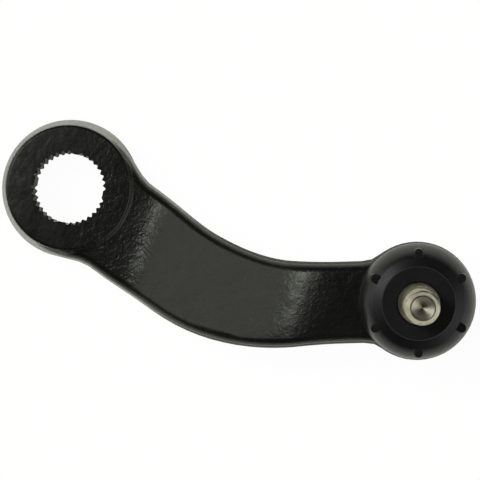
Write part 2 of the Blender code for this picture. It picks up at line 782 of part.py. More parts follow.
def check_ball_height():
    """The ball's centre when it lies a hair off the cone of its seat."""
    seat = fitting_seat_height()
    run, drop = FITTING_BORE - FITTING_MOUTH, 0.7 * seat
    slant = math.hypot(run, drop)
    off = CHECK_BALL_RADIUS + CHECK_GAP
    return fitting_foot() + seat + off * slant / run - FITTING_BORE * drop / run


def make_check_spring(collection, material):
    top = fitting_foot() + fitting_levels()[3] - FITTING_LIP - CHECK_WIRE - CHECK_GAP
    foot = check_ball_height() + CHECK_BALL_RADIUS + CHECK_WIRE + CHECK_GAP
    radius = FITTING_BORE - CHECK_WIRE - CHECK_GAP
    radii = (0.55 * CHECK_BALL_RADIUS, radius)
    heights = (foot, top)
    return make_coil(
        "grease_check_spring", radii, heights, CHECK_TURNS, CHECK_WIRE, CHECK_STEPS, collection, material
    )


def boot_shoulder(start, end, wall, steps):
    """Arc of an ellipse from the washer's rim, level there, down to the boot's widest place."""
    widest = SHOULDER_Z + BOOT_WIDEST
    run = BOOT_RADIUS - WASHER_RADIUS - wall
    tall = BOOT_HEIGHT - BOOT_WIDEST - wall
    points = []
    for i in range(steps + 1):
        angle = math.radians(start + (end - start) * i / steps)
        points.append((WASHER_RADIUS + run * math.cos(angle), widest + tall * math.sin(angle)))
    return points


def boot_profile(hole):
    """Closed section of the boot: flat top, sloping band, round shoulder, foot, bead and inside."""
    foot = SHOULDER_Z + RUNNING_GAP
    bead = NECK_RADIUS - GROOVE_DEPTH + RUNNING_GAP
    bead_top = SHOULDER_Z + GROOVE_HEIGHT - RUNNING_GAP
    collar = NECK_RADIUS + RUNNING_GAP
    ledge = SHOULDER_Z + NECK_HEIGHT + RUNNING_GAP
    band_end = math.degrees(math.acos(BOOT_BAND / (BOOT_RADIUS - WASHER_RADIUS)))
    over_widest = ledge - SHOULDER_Z - BOOT_WIDEST
    meets_ledge = math.degrees(math.asin(over_widest / (BOOT_HEIGHT - BOOT_WIDEST - BOOT_WALL)))
    profile = [(hole, BOOT_TOP_Z), (WASHER_RADIUS, BOOT_TOP_Z)]
    profile += boot_shoulder(band_end, 0.0, 0.0, 8)
    profile.append((0.35 * BOOT_FOOT_RADIUS + 0.65 * BOOT_RADIUS, SHOULDER_Z + 0.45 * BOOT_WIDEST))
    profile.append((BOOT_FOOT_RADIUS, foot))
    profile.append((bead, foot))
    profile.append((bead, bead_top))
    profile.append((collar, bead_top))
    profile.append((collar, ledge))
    profile += boot_shoulder(meets_ledge, 90.0, BOOT_WALL, 5)
    profile.append((hole, BOOT_TOP_Z - BOOT_WALL))
    return profile


def boot_surface(radius):
    """Height of the boot's outside over its widest place, on the rounded shoulder."""
    across = min((radius - WASHER_RADIUS) / (BOOT_RADIUS - WASHER_RADIUS), 1.0)
    return (BOOT_HEIGHT - BOOT_WIDEST) * math.sqrt(1.0 - across * across)


def make_lug(number, tools):
    """Flat-topped finger with a rounded outer end, rooted in the boot's shoulder."""
    half = LUG_WIDTH / 2
    outline = [(LUG_INNER, -half)]
    outline += arc((LUG_REACH - half, 0.0), half, -90, 90, 6)
    outline.append((LUG_INNER, half))
    widest = SHOULDER_Z + BOOT_WIDEST
    top = BOOT_TOP_Z - LUG_DROP
    solid = bmesh.new()
    upper = []
    lower = []
    for x, y in outline:
        under = widest + boot_surface(math.hypot(x, y)) - LUG_ROOT
        upper.append(solid.verts.new((x, y, top)))
        lower.append(solid.verts.new((x, y, under)))
    count = len(outline)
    for i in range(count):
        j = (i + 1) % count
        solid.faces.new((upper[i], upper[j], lower[j], lower[i]))
    solid.faces.new(upper)
    bmesh.ops.triangulate(solid, faces=[solid.faces.new(lower)])
    turned = math.radians(LUG_TURN + 360.0 * number / LUG_COUNT)
    bmesh.ops.rotate(solid, verts=solid.verts, cent=(0, 0, 0), matrix=Matrix.Rotation(turned, 3, "Z"))
    bmesh.ops.recalc_face_normals(solid, faces=solid.faces)
    name = f"lug_{number + 1}"
    mesh = bpy.data.meshes.new(name)
    solid.to_mesh(mesh)
    solid.free()
    return make_cutter(add_object(name, mesh, tools))


def make_dust_boot(collection, tools, material):
    """Boot turned upright with its lugs, then drawn over so that its top follows the stud."""
    hole = TAPER_LARGE_RADIUS + STUD_HOLE_GAP
    upright = turn("boot_upright", boot_profile(hole), True, BOOT_SEGMENTS, tools)
    for number in range(LUG_COUNT):
        add_boolean(upright, make_lug(number, tools), "UNION")
    bpy.context.view_layer.update()
    boot = to_mesh_object(upright, "dust_boot", collection, material)
    fixed = SHOULDER_Z + NECK_HEIGHT
    carried = BOOT_TOP_Z - BOOT_WALL
    for vertex in boot.data.vertices:
        share = ease((vertex.co.z - fixed) / (carried - fixed))
        rocked = Matrix.Rotation(math.radians(STUD_LEAN * share), 3, "X")
        above = vertex.co - Vector((0.0, 0.0, BALL_Z))
        vertex.co = rocked @ above + Vector((0.0, 0.0, BALL_Z))
    boot.location = SOCKET_AXIS
    return boot


def make_boot_washer(collection, material, stud_axis):
    """Flat disc on the boot, which the link's eye presses on."""
    hole = TAPER_LARGE_RADIUS + STUD_HOLE_GAP
    foot = BOOT_TOP_Z - BALL_Z + RUNNING_GAP
    top = foot + WASHER_THICKNESS
    profile = [
        (hole, top),
        (WASHER_RADIUS - WASHER_EDGE, top),
        (WASHER_RADIUS, top - WASHER_EDGE),
        (WASHER_RADIUS, foot),
        (hole, foot),
    ]
    washer = turn("boot_washer", profile, True, BOOT_SEGMENTS, collection, material)
    washer.parent = stud_axis
    return washer


def make_stud_axis(collection):
    """Empty at the ball's centre, rocked as the stud is."""
    axis = bpy.data.objects.new("stud_axis", None)
    collection.objects.link(axis)
    axis.location = BALL_CENTRE
    axis.rotation_euler = (math.radians(STUD_LEAN), 0.0, 0.0)
    return axis


def main():
    clear_scene()
    pieces = make_collection("pitman_arm")
    tools = make_collection("shaping_tools")
    black_paint = make_material("black_paint", (0.012, 0.012, 0.011), 0.45, 0.0)
    bare_steel = make_material("bare_steel", (0.55, 0.53, 0.50), 0.32, 1.0)
    rubber = make_material("boot_rubber", (0.012, 0.012, 0.013), 0.38, 0.0)
    washer_rubber = make_material("washer_rubber", (0.010, 0.010, 0.011), 0.60, 0.0)
    sintered = make_material("seat_steel", (0.20, 0.19, 0.18), 0.55, 1.0)
    spring_steel = make_material("spring_steel", (0.30, 0.30, 0.31), 0.35, 1.0)
    plated = make_material("plated_steel", (0.62, 0.58, 0.47), 0.35, 1.0)
    stud_axis = make_stud_axis(pieces)
    make_arm_forging(pieces, tools, black_paint)
    make_ball_stud(pieces, tools, bare_steel, stud_axis)
    make_upper_seat(pieces, sintered)
    make_lower_seat(pieces, sintered)
    make_preload_spring(pieces, spring_steel)
    make_cover_plate(pieces, black_paint)
    make_grease_fitting(pieces, tools, plated)
    make_check_ball(pieces, bare_steel)
    make_check_spring(pieces, spring_steel)
    make_dust_boot(pieces, tools, rubber)
    make_boot_washer(pieces, washer_rubber, stud_axis)
    bpy.context.view_layer.update()


main()
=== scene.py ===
# %% [markdown]
# # A forged pitman arm with a sealed ball joint
#
# A pitman arm turns the motion of a steering gear into the swing of a link. This one is a single
# steel forging, painted black, with a serrated eye at one end and a ball joint built into the
# other. The frame file already holds the forging and the joint's inner pieces at their real size.
# This script gives every surface its finish, and it makes the pieces whose fine form the solids
# leave plain: the turned and threaded stud, and the moulded rubber boot. It also winds the
# joint's two springs anew.

# %% Load the frame
import json
import math

import bmesh
import bpy
import numpy as np
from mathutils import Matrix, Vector


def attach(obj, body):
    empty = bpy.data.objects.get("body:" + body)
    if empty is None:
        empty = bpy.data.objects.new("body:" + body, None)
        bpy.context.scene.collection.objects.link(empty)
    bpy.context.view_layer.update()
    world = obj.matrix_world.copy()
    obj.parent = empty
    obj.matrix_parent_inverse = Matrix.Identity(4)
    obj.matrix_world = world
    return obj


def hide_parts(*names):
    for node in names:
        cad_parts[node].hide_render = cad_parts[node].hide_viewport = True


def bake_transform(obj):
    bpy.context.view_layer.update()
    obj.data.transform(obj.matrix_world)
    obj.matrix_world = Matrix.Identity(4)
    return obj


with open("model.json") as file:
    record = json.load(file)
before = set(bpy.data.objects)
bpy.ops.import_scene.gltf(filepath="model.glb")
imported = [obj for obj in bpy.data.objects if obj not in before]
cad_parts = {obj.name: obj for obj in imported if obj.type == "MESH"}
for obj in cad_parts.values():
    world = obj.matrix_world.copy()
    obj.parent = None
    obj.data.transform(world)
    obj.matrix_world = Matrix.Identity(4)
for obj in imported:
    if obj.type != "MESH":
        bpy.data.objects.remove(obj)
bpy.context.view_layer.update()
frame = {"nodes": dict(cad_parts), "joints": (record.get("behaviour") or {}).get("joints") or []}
JOINTS = {joint["name"]: joint for joint in frame["joints"]}
BALL = np.array(JOINTS["stud_spin"]["pos_m"])
STUD_AXIS = np.array(JOINTS["stud_spin"]["axis"])
STUD_AXIS = STUD_AXIS / np.linalg.norm(STUD_AXIS)
print("ball centre:", BALL, "stud axis:", STUD_AXIS)

# %% [markdown]
# ## Colours and nodes
#
# Colours are written as sRGB hex values, because that is how a swatch is read off a screen.
# Blender works with linear light, so one function turns the one into the other. A second small
# function adds a node, sets its values and links its inputs, so that each material below reads
# as a short recipe.


# %% Two helpers for materials
def linear(hex_colour):
    """sRGB hex to linear RGBA: c / 12.92 in the darks, ((c + 0.055) / 1.055) ** 2.4 above."""
    values = np.array([int(hex_colour[i : i + 2], 16) for i in (1, 3, 5)]) / 255
    bright = ((values + 0.055) / 1.055) ** 2.4
    return (*np.where(values <= 0.04045, values / 12.92, bright).tolist(), 1.0)


def add(tree, kind, links=None, settings=None, **inputs):
    """Adds a node of one kind, with its settings, its input values and the links into it."""
    node = tree.nodes.new(kind)
    for name, value in (settings or {}).items():
        setattr(node, name, value)
    for name, value in inputs.items():
        node.inputs[name.replace("_", " ")].default_value = value
    for name, source in (links or {}).items():
        tree.links.new(source, node.inputs[name])
    return node


def new_material(name):
    """An empty material with a Principled shader, and Object coordinates for its patterns."""
    material = bpy.data.materials.new(name)
    material.use_nodes = True
    tree = material.node_tree
    shader = tree.nodes["Principled BSDF"]
    place = add(tree, "ShaderNodeTexCoord").outputs["Object"]
    return material, tree, shader, place


def ramp(tree, source, stops):
    """Colour ramp from a list of (position, colour) stops."""
    node = add(tree, "ShaderNodeValToRGB", links={"Fac": source})
    elements = node.color_ramp.elements
    while len(elements) < len(stops):
        elements.new(0.5)
    for element, (position, colour) in zip(elements, stops):
        element.position = position
        element.color = colour if len(colour) == 4 else (*colour, 1.0)
    return node.outputs["Color"]


def grey(value):
    return (value, value, value, 1.0)


MM = 0.001
print("swatch #1c1c1a in linear light:", [round(c, 4) for c in linear("#1c1c1a")[:3]])

# %% [markdown]
# ## Black paint over a blasted forging
#
# The arm was forged, blasted with shot to knock off its scale, and dipped or sprayed in one coat
# of semi-gloss black. The paint is thin, so it follows the dimples of the blasted skin. Seen
# from above it is nearly black, and the bends carry a soft grey sheen that breaks up into
# worm-like flecks. One noise of about 2 mm, twisted a little, gives the dimples. They are faint
# on the eye, deepest at the neck of the arm, and weaker again on the slope. A wide noise gives
# the slight waviness that a die leaves. All of it is a height in millimetres for one Bump node,
# and the same height holds a soft step round the eye. Past the eye the upright sides of the arm
# are duller, and on the upright walls of the bore the steel shows through thin paint.


# %% Paint of the forging
PAINT_BLACK = "#0b0b0a"
PAINT_SHEEN = (0.96, 1.0, 0.87, 1.0)
DIMPLE_SIZE = 1.9 * MM
WAVE_SIZE = 9 * MM
WAVE_HEIGHT = 0.25
EYE_STEP_HEIGHT = 0.75
EYE_STEP = (25.6 * MM, 28.6 * MM)
BORE_EDGE = 16.4 * MM
BORE_STEEL = "#4c4c46"


def from_bore(tree, place):
    """Distance of a point from the bore's axis, which is the Z axis."""
    level = add(
        tree, "ShaderNodeVectorMath", links={0: place}, settings={"operation": "MULTIPLY"}
    )
    level.inputs[1].default_value = (1.0, 1.0, 0.0)
    length = add(
        tree,
        "ShaderNodeVectorMath",
        links={0: level.outputs["Vector"]},
        settings={"operation": "LENGTH"},
    )
    return length.outputs["Value"]


def fade(tree, source, start, end, low, high):
    """Smooth change from low to high while the source goes from start to end."""
    node = add(
        tree,
        "ShaderNodeMapRange",
        links={"Value": source},
        settings={"interpolation_type": "SMOOTHSTEP"},
        To_Min=low,
        To_Max=high,
    )
    node.inputs["From Min"].default_value = start
    node.inputs["From Max"].default_value = end
    return node.outputs["Result"]


def multiply_add(tree, first, second, third):
    """first * second + third, each a socket."""
    node = add(
        tree,
        "ShaderNodeMath",
        links={0: first, 1: second, 2: third},
        settings={"operation": "MULTIPLY_ADD"},
    )
    return node.outputs["Value"]


def forged_paint():
    """Semi-gloss black on dimples, dull on the arm's sides and thin on the bore's walls."""
    material, tree, shader, place = new_material("semi_gloss_black_paint")
    shader.inputs["IOR"].default_value = 1.5
    shader.inputs["Specular Tint"].default_value = PAINT_SHEEN
    dimples = add(
        tree,
        "ShaderNodeTexNoise",
        links={"Vector": place},
        Scale=1 / DIMPLE_SIZE,
        Detail=1.3,
        Roughness=0.5,
        Distortion=0.9,
    )
    waves = add(tree, "ShaderNodeTexNoise", links={"Vector": place}, Scale=1 / WAVE_SIZE, Detail=2.0)
    along = add(tree, "ShaderNodeSeparateXYZ", links={"Vector": place}).outputs["X"]
    to_neck = fade(tree, along, -6 * MM, 22 * MM, 0.035, 0.15)
    past_neck = fade(tree, along, 32 * MM, 48 * MM, 1.0, 0.55)
    by_socket = fade(tree, along, 108 * MM, 122 * MM, 0.0, 0.05)
    depth = multiply_add(tree, to_neck, past_neck, by_socket)
    radius = from_bore(tree, place)
    step = fade(tree, radius, *EYE_STEP, EYE_STEP_HEIGHT, 0.0)
    grain = multiply_add(tree, dimples.outputs["Fac"], depth, step)
    swell = add(tree, "ShaderNodeMath", links={0: waves.outputs["Fac"], 2: grain})
    swell.operation = "MULTIPLY_ADD"
    swell.inputs[1].default_value = WAVE_HEIGHT
    bump = add(tree, "ShaderNodeBump", links={"Height": swell.outputs["Value"]}, Strength=1.0)
    bump.inputs["Distance"].default_value = 1.0 * MM
    tree.links.new(bump.outputs["Normal"], shader.inputs["Normal"])
    gloss = fade(tree, waves.outputs["Fac"], 0.3, 0.7, 0.27, 0.31)
    in_bore = fade(tree, radius, BORE_EDGE, BORE_EDGE + 0.1 * MM, 1.0, 0.0)
    upright = tree.nodes["Texture Coordinate"].outputs["Normal"]
    upward = add(tree, "ShaderNodeSeparateXYZ", links={"Vector": upright}).outputs["Z"]
    on_side = fade(tree, upward, 0.16, 0.40, 0.45, 0.0)
    on_arm = fade(tree, along, 40 * MM, 75 * MM, 0.0, 1.0)
    worn = multiply_add(tree, on_side, on_arm, gloss)
    tree.links.new(worn, shader.inputs["Roughness"])
    on_wall = fade(tree, upward, 0.10, 0.25, 1.0, 0.0)
    wall = add(tree, "ShaderNodeMath", links={0: in_bore, 1: on_wall})
    wall.operation = "MULTIPLY"
    paint_to_steel = [(0.0, linear(PAINT_BLACK)), (1.0, linear(BORE_STEEL))]
    bare = ramp(tree, wall.outputs["Value"], paint_to_steel)
    tree.links.new(bare, shader.inputs["Base Color"])
    return material


PAINT = forged_paint()
print("made", PAINT.name)

# %% [markdown]
# ## Bare machined steel, plating and springs
#
# The stud is turned from alloy steel and left bare but oiled, so it is the one bright thing in
# the picture. Turning leaves fine rings round its axis. The grease fitting is zinc plated, the
# springs are drawn wire, and the two seats inside the socket are dull sintered steel.


# %% Steels
def steel(name, colour, roughness, grain):
    """A bare metal whose tint and gloss vary a little over a grain of the given size."""
    material, tree, shader, place = new_material(name)
    noise = add(tree, "ShaderNodeTexNoise", links={"Vector": place}, Scale=1 / grain, Detail=4.0)
    dark = [0.82 * c for c in linear(colour)[:3]]
    tint = ramp(tree, noise.outputs["Fac"], [(0.35, dark), (0.65, linear(colour))])
    tree.links.new(tint, shader.inputs["Base Color"])
    low, high = grey(0.85 * roughness), grey(1.15 * roughness)
    gloss = ramp(tree, noise.outputs["Fac"], [(0.3, low), (0.7, high)])
    tree.links.new(gloss, shader.inputs["Roughness"])
    shader.inputs["Metallic"].default_value = 1.0
    return material


STUD_STEEL = steel("turned_alloy_steel", "#c8c3ad", 0.32, 2.5 * MM)
SPRING_STEEL = steel("drawn_spring_wire", "#85868a", 0.35, 0.8 * MM)
SEAT_STEEL = steel("sintered_steel", "#6f6c68", 0.55, 0.3 * MM)
PLATED_STEEL = steel("zinc_plated_steel", "#c9c1a4", 0.33, 0.6 * MM)
print("made four steels")


# %% [markdown]
# ## Rubber
#
# The boot is moulded in smooth black neoprene. Its surface is slightly glossy, like a tyre's
# bead, and it carries no grain that shows from a step away. The flat seal on top of it has the
# same gloss.


# %% Rubbers
BLOOM_SIZE = 7 * MM
SKIN_SIZE = 0.5 * MM
SKIN_HEIGHT = 0.02 * MM


def rubber(name, colour, low_gloss, high_gloss):
    """Smooth black rubber with a patchy bloom that changes its gloss over some millimetres."""
    material, tree, shader, place = new_material(name)
    shader.inputs["Base Color"].default_value = linear(colour)
    shader.inputs["IOR"].default_value = 1.52
    bloom = add(tree, "ShaderNodeTexNoise", links={"Vector": place}, Scale=1 / BLOOM_SIZE, Detail=3.0)
    gloss = ramp(tree, bloom.outputs["Fac"], [(0.3, grey(low_gloss)), (0.7, grey(high_gloss))])
    tree.links.new(gloss, shader.inputs["Roughness"])
    fine = add(tree, "ShaderNodeTexNoise", links={"Vector": place}, Scale=1 / SKIN_SIZE, Detail=2.0)
    bump = add(tree, "ShaderNodeBump", links={"Height": fine.outputs["Fac"]}, Strength=0.25)
    bump.inputs["Distance"].default_value = SKIN_HEIGHT
    tree.links.new(bump.outputs["Normal"], shader.inputs["Normal"])
    return material


BOOT_RUBBER = rubber("moulded_neoprene", "#070708", 0.34, 0.39)
SEAL_RUBBER = rubber("flat_seal_rubber", "#08080a", 0.34, 0.39)
print("made two rubbers")

# %% [markdown]
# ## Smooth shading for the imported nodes
#
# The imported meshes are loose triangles. Three modifiers make them look as they were drawn: Weld
# joins the triangles' corners, Edge Split keeps an edge crisp where two faces meet at more than
# the given angle, and Weighted Normal lets large faces set the shading at their corners. So a
# flat face stays flat up to its rim, and only the narrow faces of a rounded edge look round.

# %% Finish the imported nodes
NODE_FINISH = {
    "arm_forging": (PAINT, 32),
    "cover_plate": (PAINT, 30),
    "boot_washer": (SEAL_RUBBER, 30),
    "grease_fitting": (PLATED_STEEL, 30),
    "grease_check_ball": (STUD_STEEL, 50),
    "upper_seat": (SEAT_STEEL, 30),
    "lower_seat": (SEAT_STEEL, 30),
}
CORNER_GAP = 0.002 * MM


def finish_node(node, material, angle):
    node.data.materials.clear()
    node.data.materials.append(material)
    node.data.shade_smooth()
    weld = node.modifiers.new("join corners", "WELD")
    weld.merge_threshold = CORNER_GAP
    split = node.modifiers.new("keep edges", "EDGE_SPLIT")
    split.split_angle = math.radians(angle)
    weighted = node.modifiers.new("flat faces stay flat", "WEIGHTED_NORMAL")
    weighted.weight = 100


for node_name, (material, angle) in NODE_FINISH.items():
    finish_node(frame["nodes"][node_name], material, angle)
print("finished", len(NODE_FINISH), "packed nodes")

# %% [markdown]
# ## Surfaces of revolution
#
# The stud and the boot are turned or moulded about one axis. Each is a profile of radius and
# height carried round a circle, so its points are a grid: one row for each point of the profile,
# one column for each angle. The whole grid is worked out at once, as arrays.


# %% Grid to mesh
def grid_mesh(name, points, material, closed_rows=False):
    """Mesh of a grid of points, shape (rows, columns, 3). Columns wrap round; rows may too."""
    rows, columns = points.shape[:2]
    last = rows if closed_rows else rows - 1
    row, column = np.meshgrid(np.arange(last), np.arange(columns), indexing="ij")
    below, beside = (row + 1) % rows, (column + 1) % columns
    corners = [
        row * columns + column,
        below * columns + column,
        below * columns + beside,
        row * columns + beside,
    ]
    faces = np.stack(corners, axis=-1).reshape(-1, 4)
    mesh = bpy.data.meshes.new(name)
    mesh.from_pydata(points.reshape(-1, 3).tolist(), [], faces.tolist())
    mesh.validate()
    mesh.shade_smooth()
    piece = bpy.data.objects.new(name, mesh)
    bpy.context.scene.collection.objects.link(piece)
    mesh.materials.append(material)
    return piece


def along_profile(corners, step):
    """Points along straight runs between profile corners, no further apart than the step."""
    corners = np.array(corners, float)
    runs = np.diff(corners, axis=0)
    counts = np.maximum(np.ceil(np.hypot(*runs.T) / step).astype(int), 1)
    pieces = [
        start + run * np.arange(count)[:, None] / count
        for start, run, count in zip(corners[:-1], runs, counts)
    ]
    return np.vstack([*pieces, corners[-1:]])


def lean_matrix():
    """Columns are the leaned frame's axes: X stays level, Z is the stud's axis."""
    across = np.cross([0.0, 1.0, 0.0], STUD_AXIS)
    across = across / np.linalg.norm(across)
    return np.column_stack([across, np.cross(STUD_AXIS, across), STUD_AXIS])


LEAN = lean_matrix()
print("stud leans by", round(math.degrees(math.acos(STUD_AXIS[2])), 2), "degrees")

# %% [markdown]
# ## The ball stud
#
# From the ball up: a slim neck, a flare, a taper that wedges into the link's eye, a short relief
# and a fine thread with a chamfered end. The end has a deep centre hole from the lathe. The
# thread is a true helix: at each angle the thread's wave is moved along the axis by that share
# of one pitch.

# %% Sizes of the stud
BALL_RADIUS = 14.0 * MM
BALL_FOOT = 0.36
NECK_RADIUS = 7.0 * MM
NECK_END = 17.5 * MM
FLARE_END = 22.0 * MM
TAPER_RADIUS = 8.8 * MM
TAPER_START = 28.0 * MM
TAPER_END = 45.0 * MM
TAPER_SMALL = 7.7375 * MM
THREAD_RADIUS = 7.15 * MM
THREAD_DEPTH = 0.75 * MM
THREAD_PITCH = 25.4 / 18 * MM
THREAD_START = 46.5 * MM
THREAD_RELIEF = 0.5 * MM
STUD_TIP = 64.5 * MM
TIP_CHAMFER = 1.9 * MM
CENTRE_HOLE = 4.6 * MM
CENTRE_DEPTH = 3.4 * MM
COTTER_HOLE = 1.6 * MM
COTTER_BELOW_TIP = 6.5 * MM
FINE_STEP = 0.18 * MM


# %% Turn the stud
def stud_outline():
    """Radius and height from the centre hole over the thread and taper down to the ball's foot."""
    steep = np.linspace(math.acos(NECK_RADIUS / BALL_RADIUS), -math.acos(BALL_FOOT), 40)
    ball = np.column_stack([BALL_RADIUS * np.cos(steep), BALL_RADIUS * np.sin(steep)])
    shank = [
        (0.0, STUD_TIP - CENTRE_DEPTH),
        (CENTRE_HOLE, STUD_TIP),
        (THREAD_RADIUS - TIP_CHAMFER, STUD_TIP),
        (THREAD_RADIUS, STUD_TIP - TIP_CHAMFER),
        (THREAD_RADIUS, THREAD_START),
        (THREAD_RADIUS - THREAD_RELIEF, THREAD_START - THREAD_RELIEF),
        (THREAD_RADIUS - THREAD_RELIEF, TAPER_END),
        (TAPER_SMALL, TAPER_END),
        (TAPER_RADIUS, TAPER_START),
        (TAPER_RADIUS, FLARE_END),
        (NECK_RADIUS, NECK_END),
        tuple(ball[0]),
    ]
    return np.vstack([along_profile(shank, FINE_STEP), ball[1:], [(0.0, ball[-1, 1])]])


def thread_cut(radius, height, angle):
    """Depth of the thread: a triangle wave of the height plus the angle's share of a pitch."""
    turns = (height + THREAD_PITCH * angle / (2 * np.pi)) / THREAD_PITCH
    wave = np.abs(2 * (turns - np.floor(turns)) - 1)
    inside = (height > THREAD_START) & (radius > THREAD_RADIUS - THREAD_DEPTH - 0.6 * MM)
    return np.where(inside, THREAD_DEPTH * wave, 0.0)


def turn_stud(columns=96):
    outline = stud_outline()
    angle = np.linspace(0, 2 * np.pi, columns, endpoint=False)[None, :]
    radius, height = outline[:, :1], outline[:, 1:]
    on_end = height >= STUD_TIP - 0.05 * MM
    cut = np.where(on_end | (radius < CENTRE_HOLE), 0.0, thread_cut(radius, height, angle))
    depth_limit = np.maximum(radius - (THREAD_RADIUS - THREAD_DEPTH), 0.0)
    worked = radius - np.minimum(cut, depth_limit)
    rise = height + 0 * angle
    local = np.stack([worked * np.cos(angle), worked * np.sin(angle), rise], axis=-1)
    return grid_mesh("ball_stud_turned", BALL + local @ LEAN.T, STUD_STEEL)


STUD = turn_stud()
print("stud has", len(STUD.data.polygons), "faces")


# %% Close the poles, drill the cotter hole and keep the edges
def close_poles(piece, threshold=0.001 * MM):
    """Merges the doubled points at the profile's two ends on the axis."""
    weld = piece.modifiers.new("close poles", "WELD")
    weld.merge_threshold = threshold


def drill(piece, centre, direction, radius, length):
    """Cuts a round hole, with a cylinder whose ends lie clear of the piece."""
    bpy.ops.mesh.primitive_cylinder_add(vertices=32, radius=radius, depth=length)
    tool = bpy.context.object
    axis = np.array(direction) / np.linalg.norm(direction)
    side = np.cross(axis, STUD_AXIS)
    frame_axes = np.column_stack([side, np.cross(axis, side), axis])
    places = np.array([vertex.co for vertex in tool.data.vertices]) @ frame_axes.T + centre
    tool.data.vertices.foreach_set("co", places.ravel())
    cut = piece.modifiers.new("drill", "BOOLEAN")
    cut.operation = "DIFFERENCE"
    cut.solver = "EXACT"
    cut.object = tool
    return tool


def apply_modifiers(piece):
    """Replaces the piece's mesh by its evaluated one."""
    graph = bpy.context.evaluated_depsgraph_get()
    finished = bpy.data.meshes.new_from_object(piece.evaluated_get(graph))
    piece.modifiers.clear()
    piece.data = finished


def keep_edges(piece, angle):
    split = piece.modifiers.new("keep edges", "EDGE_SPLIT")
    split.split_angle = math.radians(angle)


close_poles(STUD)
hole_centre = BALL + STUD_AXIS * (STUD_TIP - COTTER_BELOW_TIP)
drill_tool = drill(STUD, hole_centre, LEAN[:, 0], COTTER_HOLE, 4 * THREAD_RADIUS)
bpy.context.view_layer.update()
apply_modifiers(STUD)
bpy.data.objects.remove(drill_tool)
keep_edges(STUD, 38)
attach(STUD, "stud")
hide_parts("ball_stud")
print("drilled stud has", len(STUD.data.polygons), "faces")

# %% [markdown]
# ## The rubber boot
#
# The boot is a shallow moulded cup. Its foot grips a groove in the housing's collar, its wall
# rounds over a wide shoulder, and a gently sloping band rises to the flat seat under the washer.
# Six small lugs stand on the shoulder. The stud was left leaning a little, so the top of the boot
# leans with it: each ring is turned about the ball's centre by a share that grows from none at
# the foot to all at the top.
#
# The stud rocks in two steps, first about Y with one body and then about X with the next. Rubber
# has to follow both, so the boot is made as two closed rings that meet face to face, at one
# height. Their bending between the housing and the two bodies is not set up here. The lip round
# the stud is hollowed underneath, which leaves room for the stud when it tilts.
#
# Each ring has only about 5 mm of height to bend in. That works up to about ten degrees. Past it
# the rubber on the low side folds into itself, and the lugs are drawn to points. This boot leaves
# that unsolved: at the joint's limits each ring would need some 10 mm.

# %% Sizes of the boot
BOOT_TOP = 70.7 * MM
GRIP_RADIUS = 20.05 * MM
GRIP_TOP = 60.5 * MM
FOOT_Z = 57.3 * MM
BEAD_TOP = 58.6 * MM
BEAD_RADIUS = GRIP_RADIUS - 0.7 * MM
INSIDE_RADIUS = GRIP_RADIUS + 0.3 * MM
FOOT_RADIUS = GRIP_RADIUS + 2.0 * MM
BOOT_RADIUS = GRIP_RADIUS + 4.2 * MM
WIDEST_Z = 59.4 * MM
LEDGE_Z = 60.8 * MM
MEETING_Z = 65.2 * MM
WASHER_RADIUS = 15.4 * MM
BAND_END = 19.2 * MM
STUD_HOLE = 9.2 * MM
BOOT_WALL = 2.2 * MM
LIP_EDGE = 0.6 * MM
LIP_RELIEF = 3.4 * MM
LIP_BEVEL = 0.2 * MM


# %% Outlines of the two rings
def shoulder_arc(start, end, wall, count):
    """Ellipse of the shoulder, level at the washer's rim, angles from its widest place."""
    angle = np.radians(np.linspace(start, end, count))
    run = BOOT_RADIUS - WASHER_RADIUS - wall
    tall = BOOT_TOP - WIDEST_Z - wall
    return np.column_stack([WASHER_RADIUS + run * np.cos(angle), WIDEST_Z + tall * np.sin(angle)])


def height_angle(height, wall):
    """Where the shoulder's ellipse passes a height."""
    return math.degrees(math.asin((height - WIDEST_Z) / (BOOT_TOP - WIDEST_Z - wall)))


def upper_outline():
    """Closed section: flat seat, band and shoulder, then the meeting face and the inside."""
    band_angle = math.degrees(math.acos((BAND_END - WASHER_RADIUS) / (BOOT_RADIUS - WASHER_RADIUS)))
    seat = along_profile([(STUD_HOLE, BOOT_TOP), (WASHER_RADIUS, BOOT_TOP)], 0.8 * MM)
    outer = shoulder_arc(band_angle, height_angle(MEETING_Z, 0.0), 0.0, 40)
    band = along_profile([seat[-1], outer[0]], 0.3 * MM)
    inner = shoulder_arc(height_angle(MEETING_Z, BOOT_WALL), 90, BOOT_WALL, 14)
    face = along_profile([outer[-1], inner[0]], 0.6 * MM)
    lip = [
        (STUD_HOLE + LIP_RELIEF, BOOT_TOP - BOOT_WALL),
        (STUD_HOLE + LIP_BEVEL, BOOT_TOP - LIP_EDGE),
    ]
    under = along_profile([inner[-1], *lip, (STUD_HOLE, BOOT_TOP)], 0.6 * MM)
    return np.vstack([seat[:-1], band[:-1], outer[:-1], face[:-1], inner[:-1], under[:-1]])


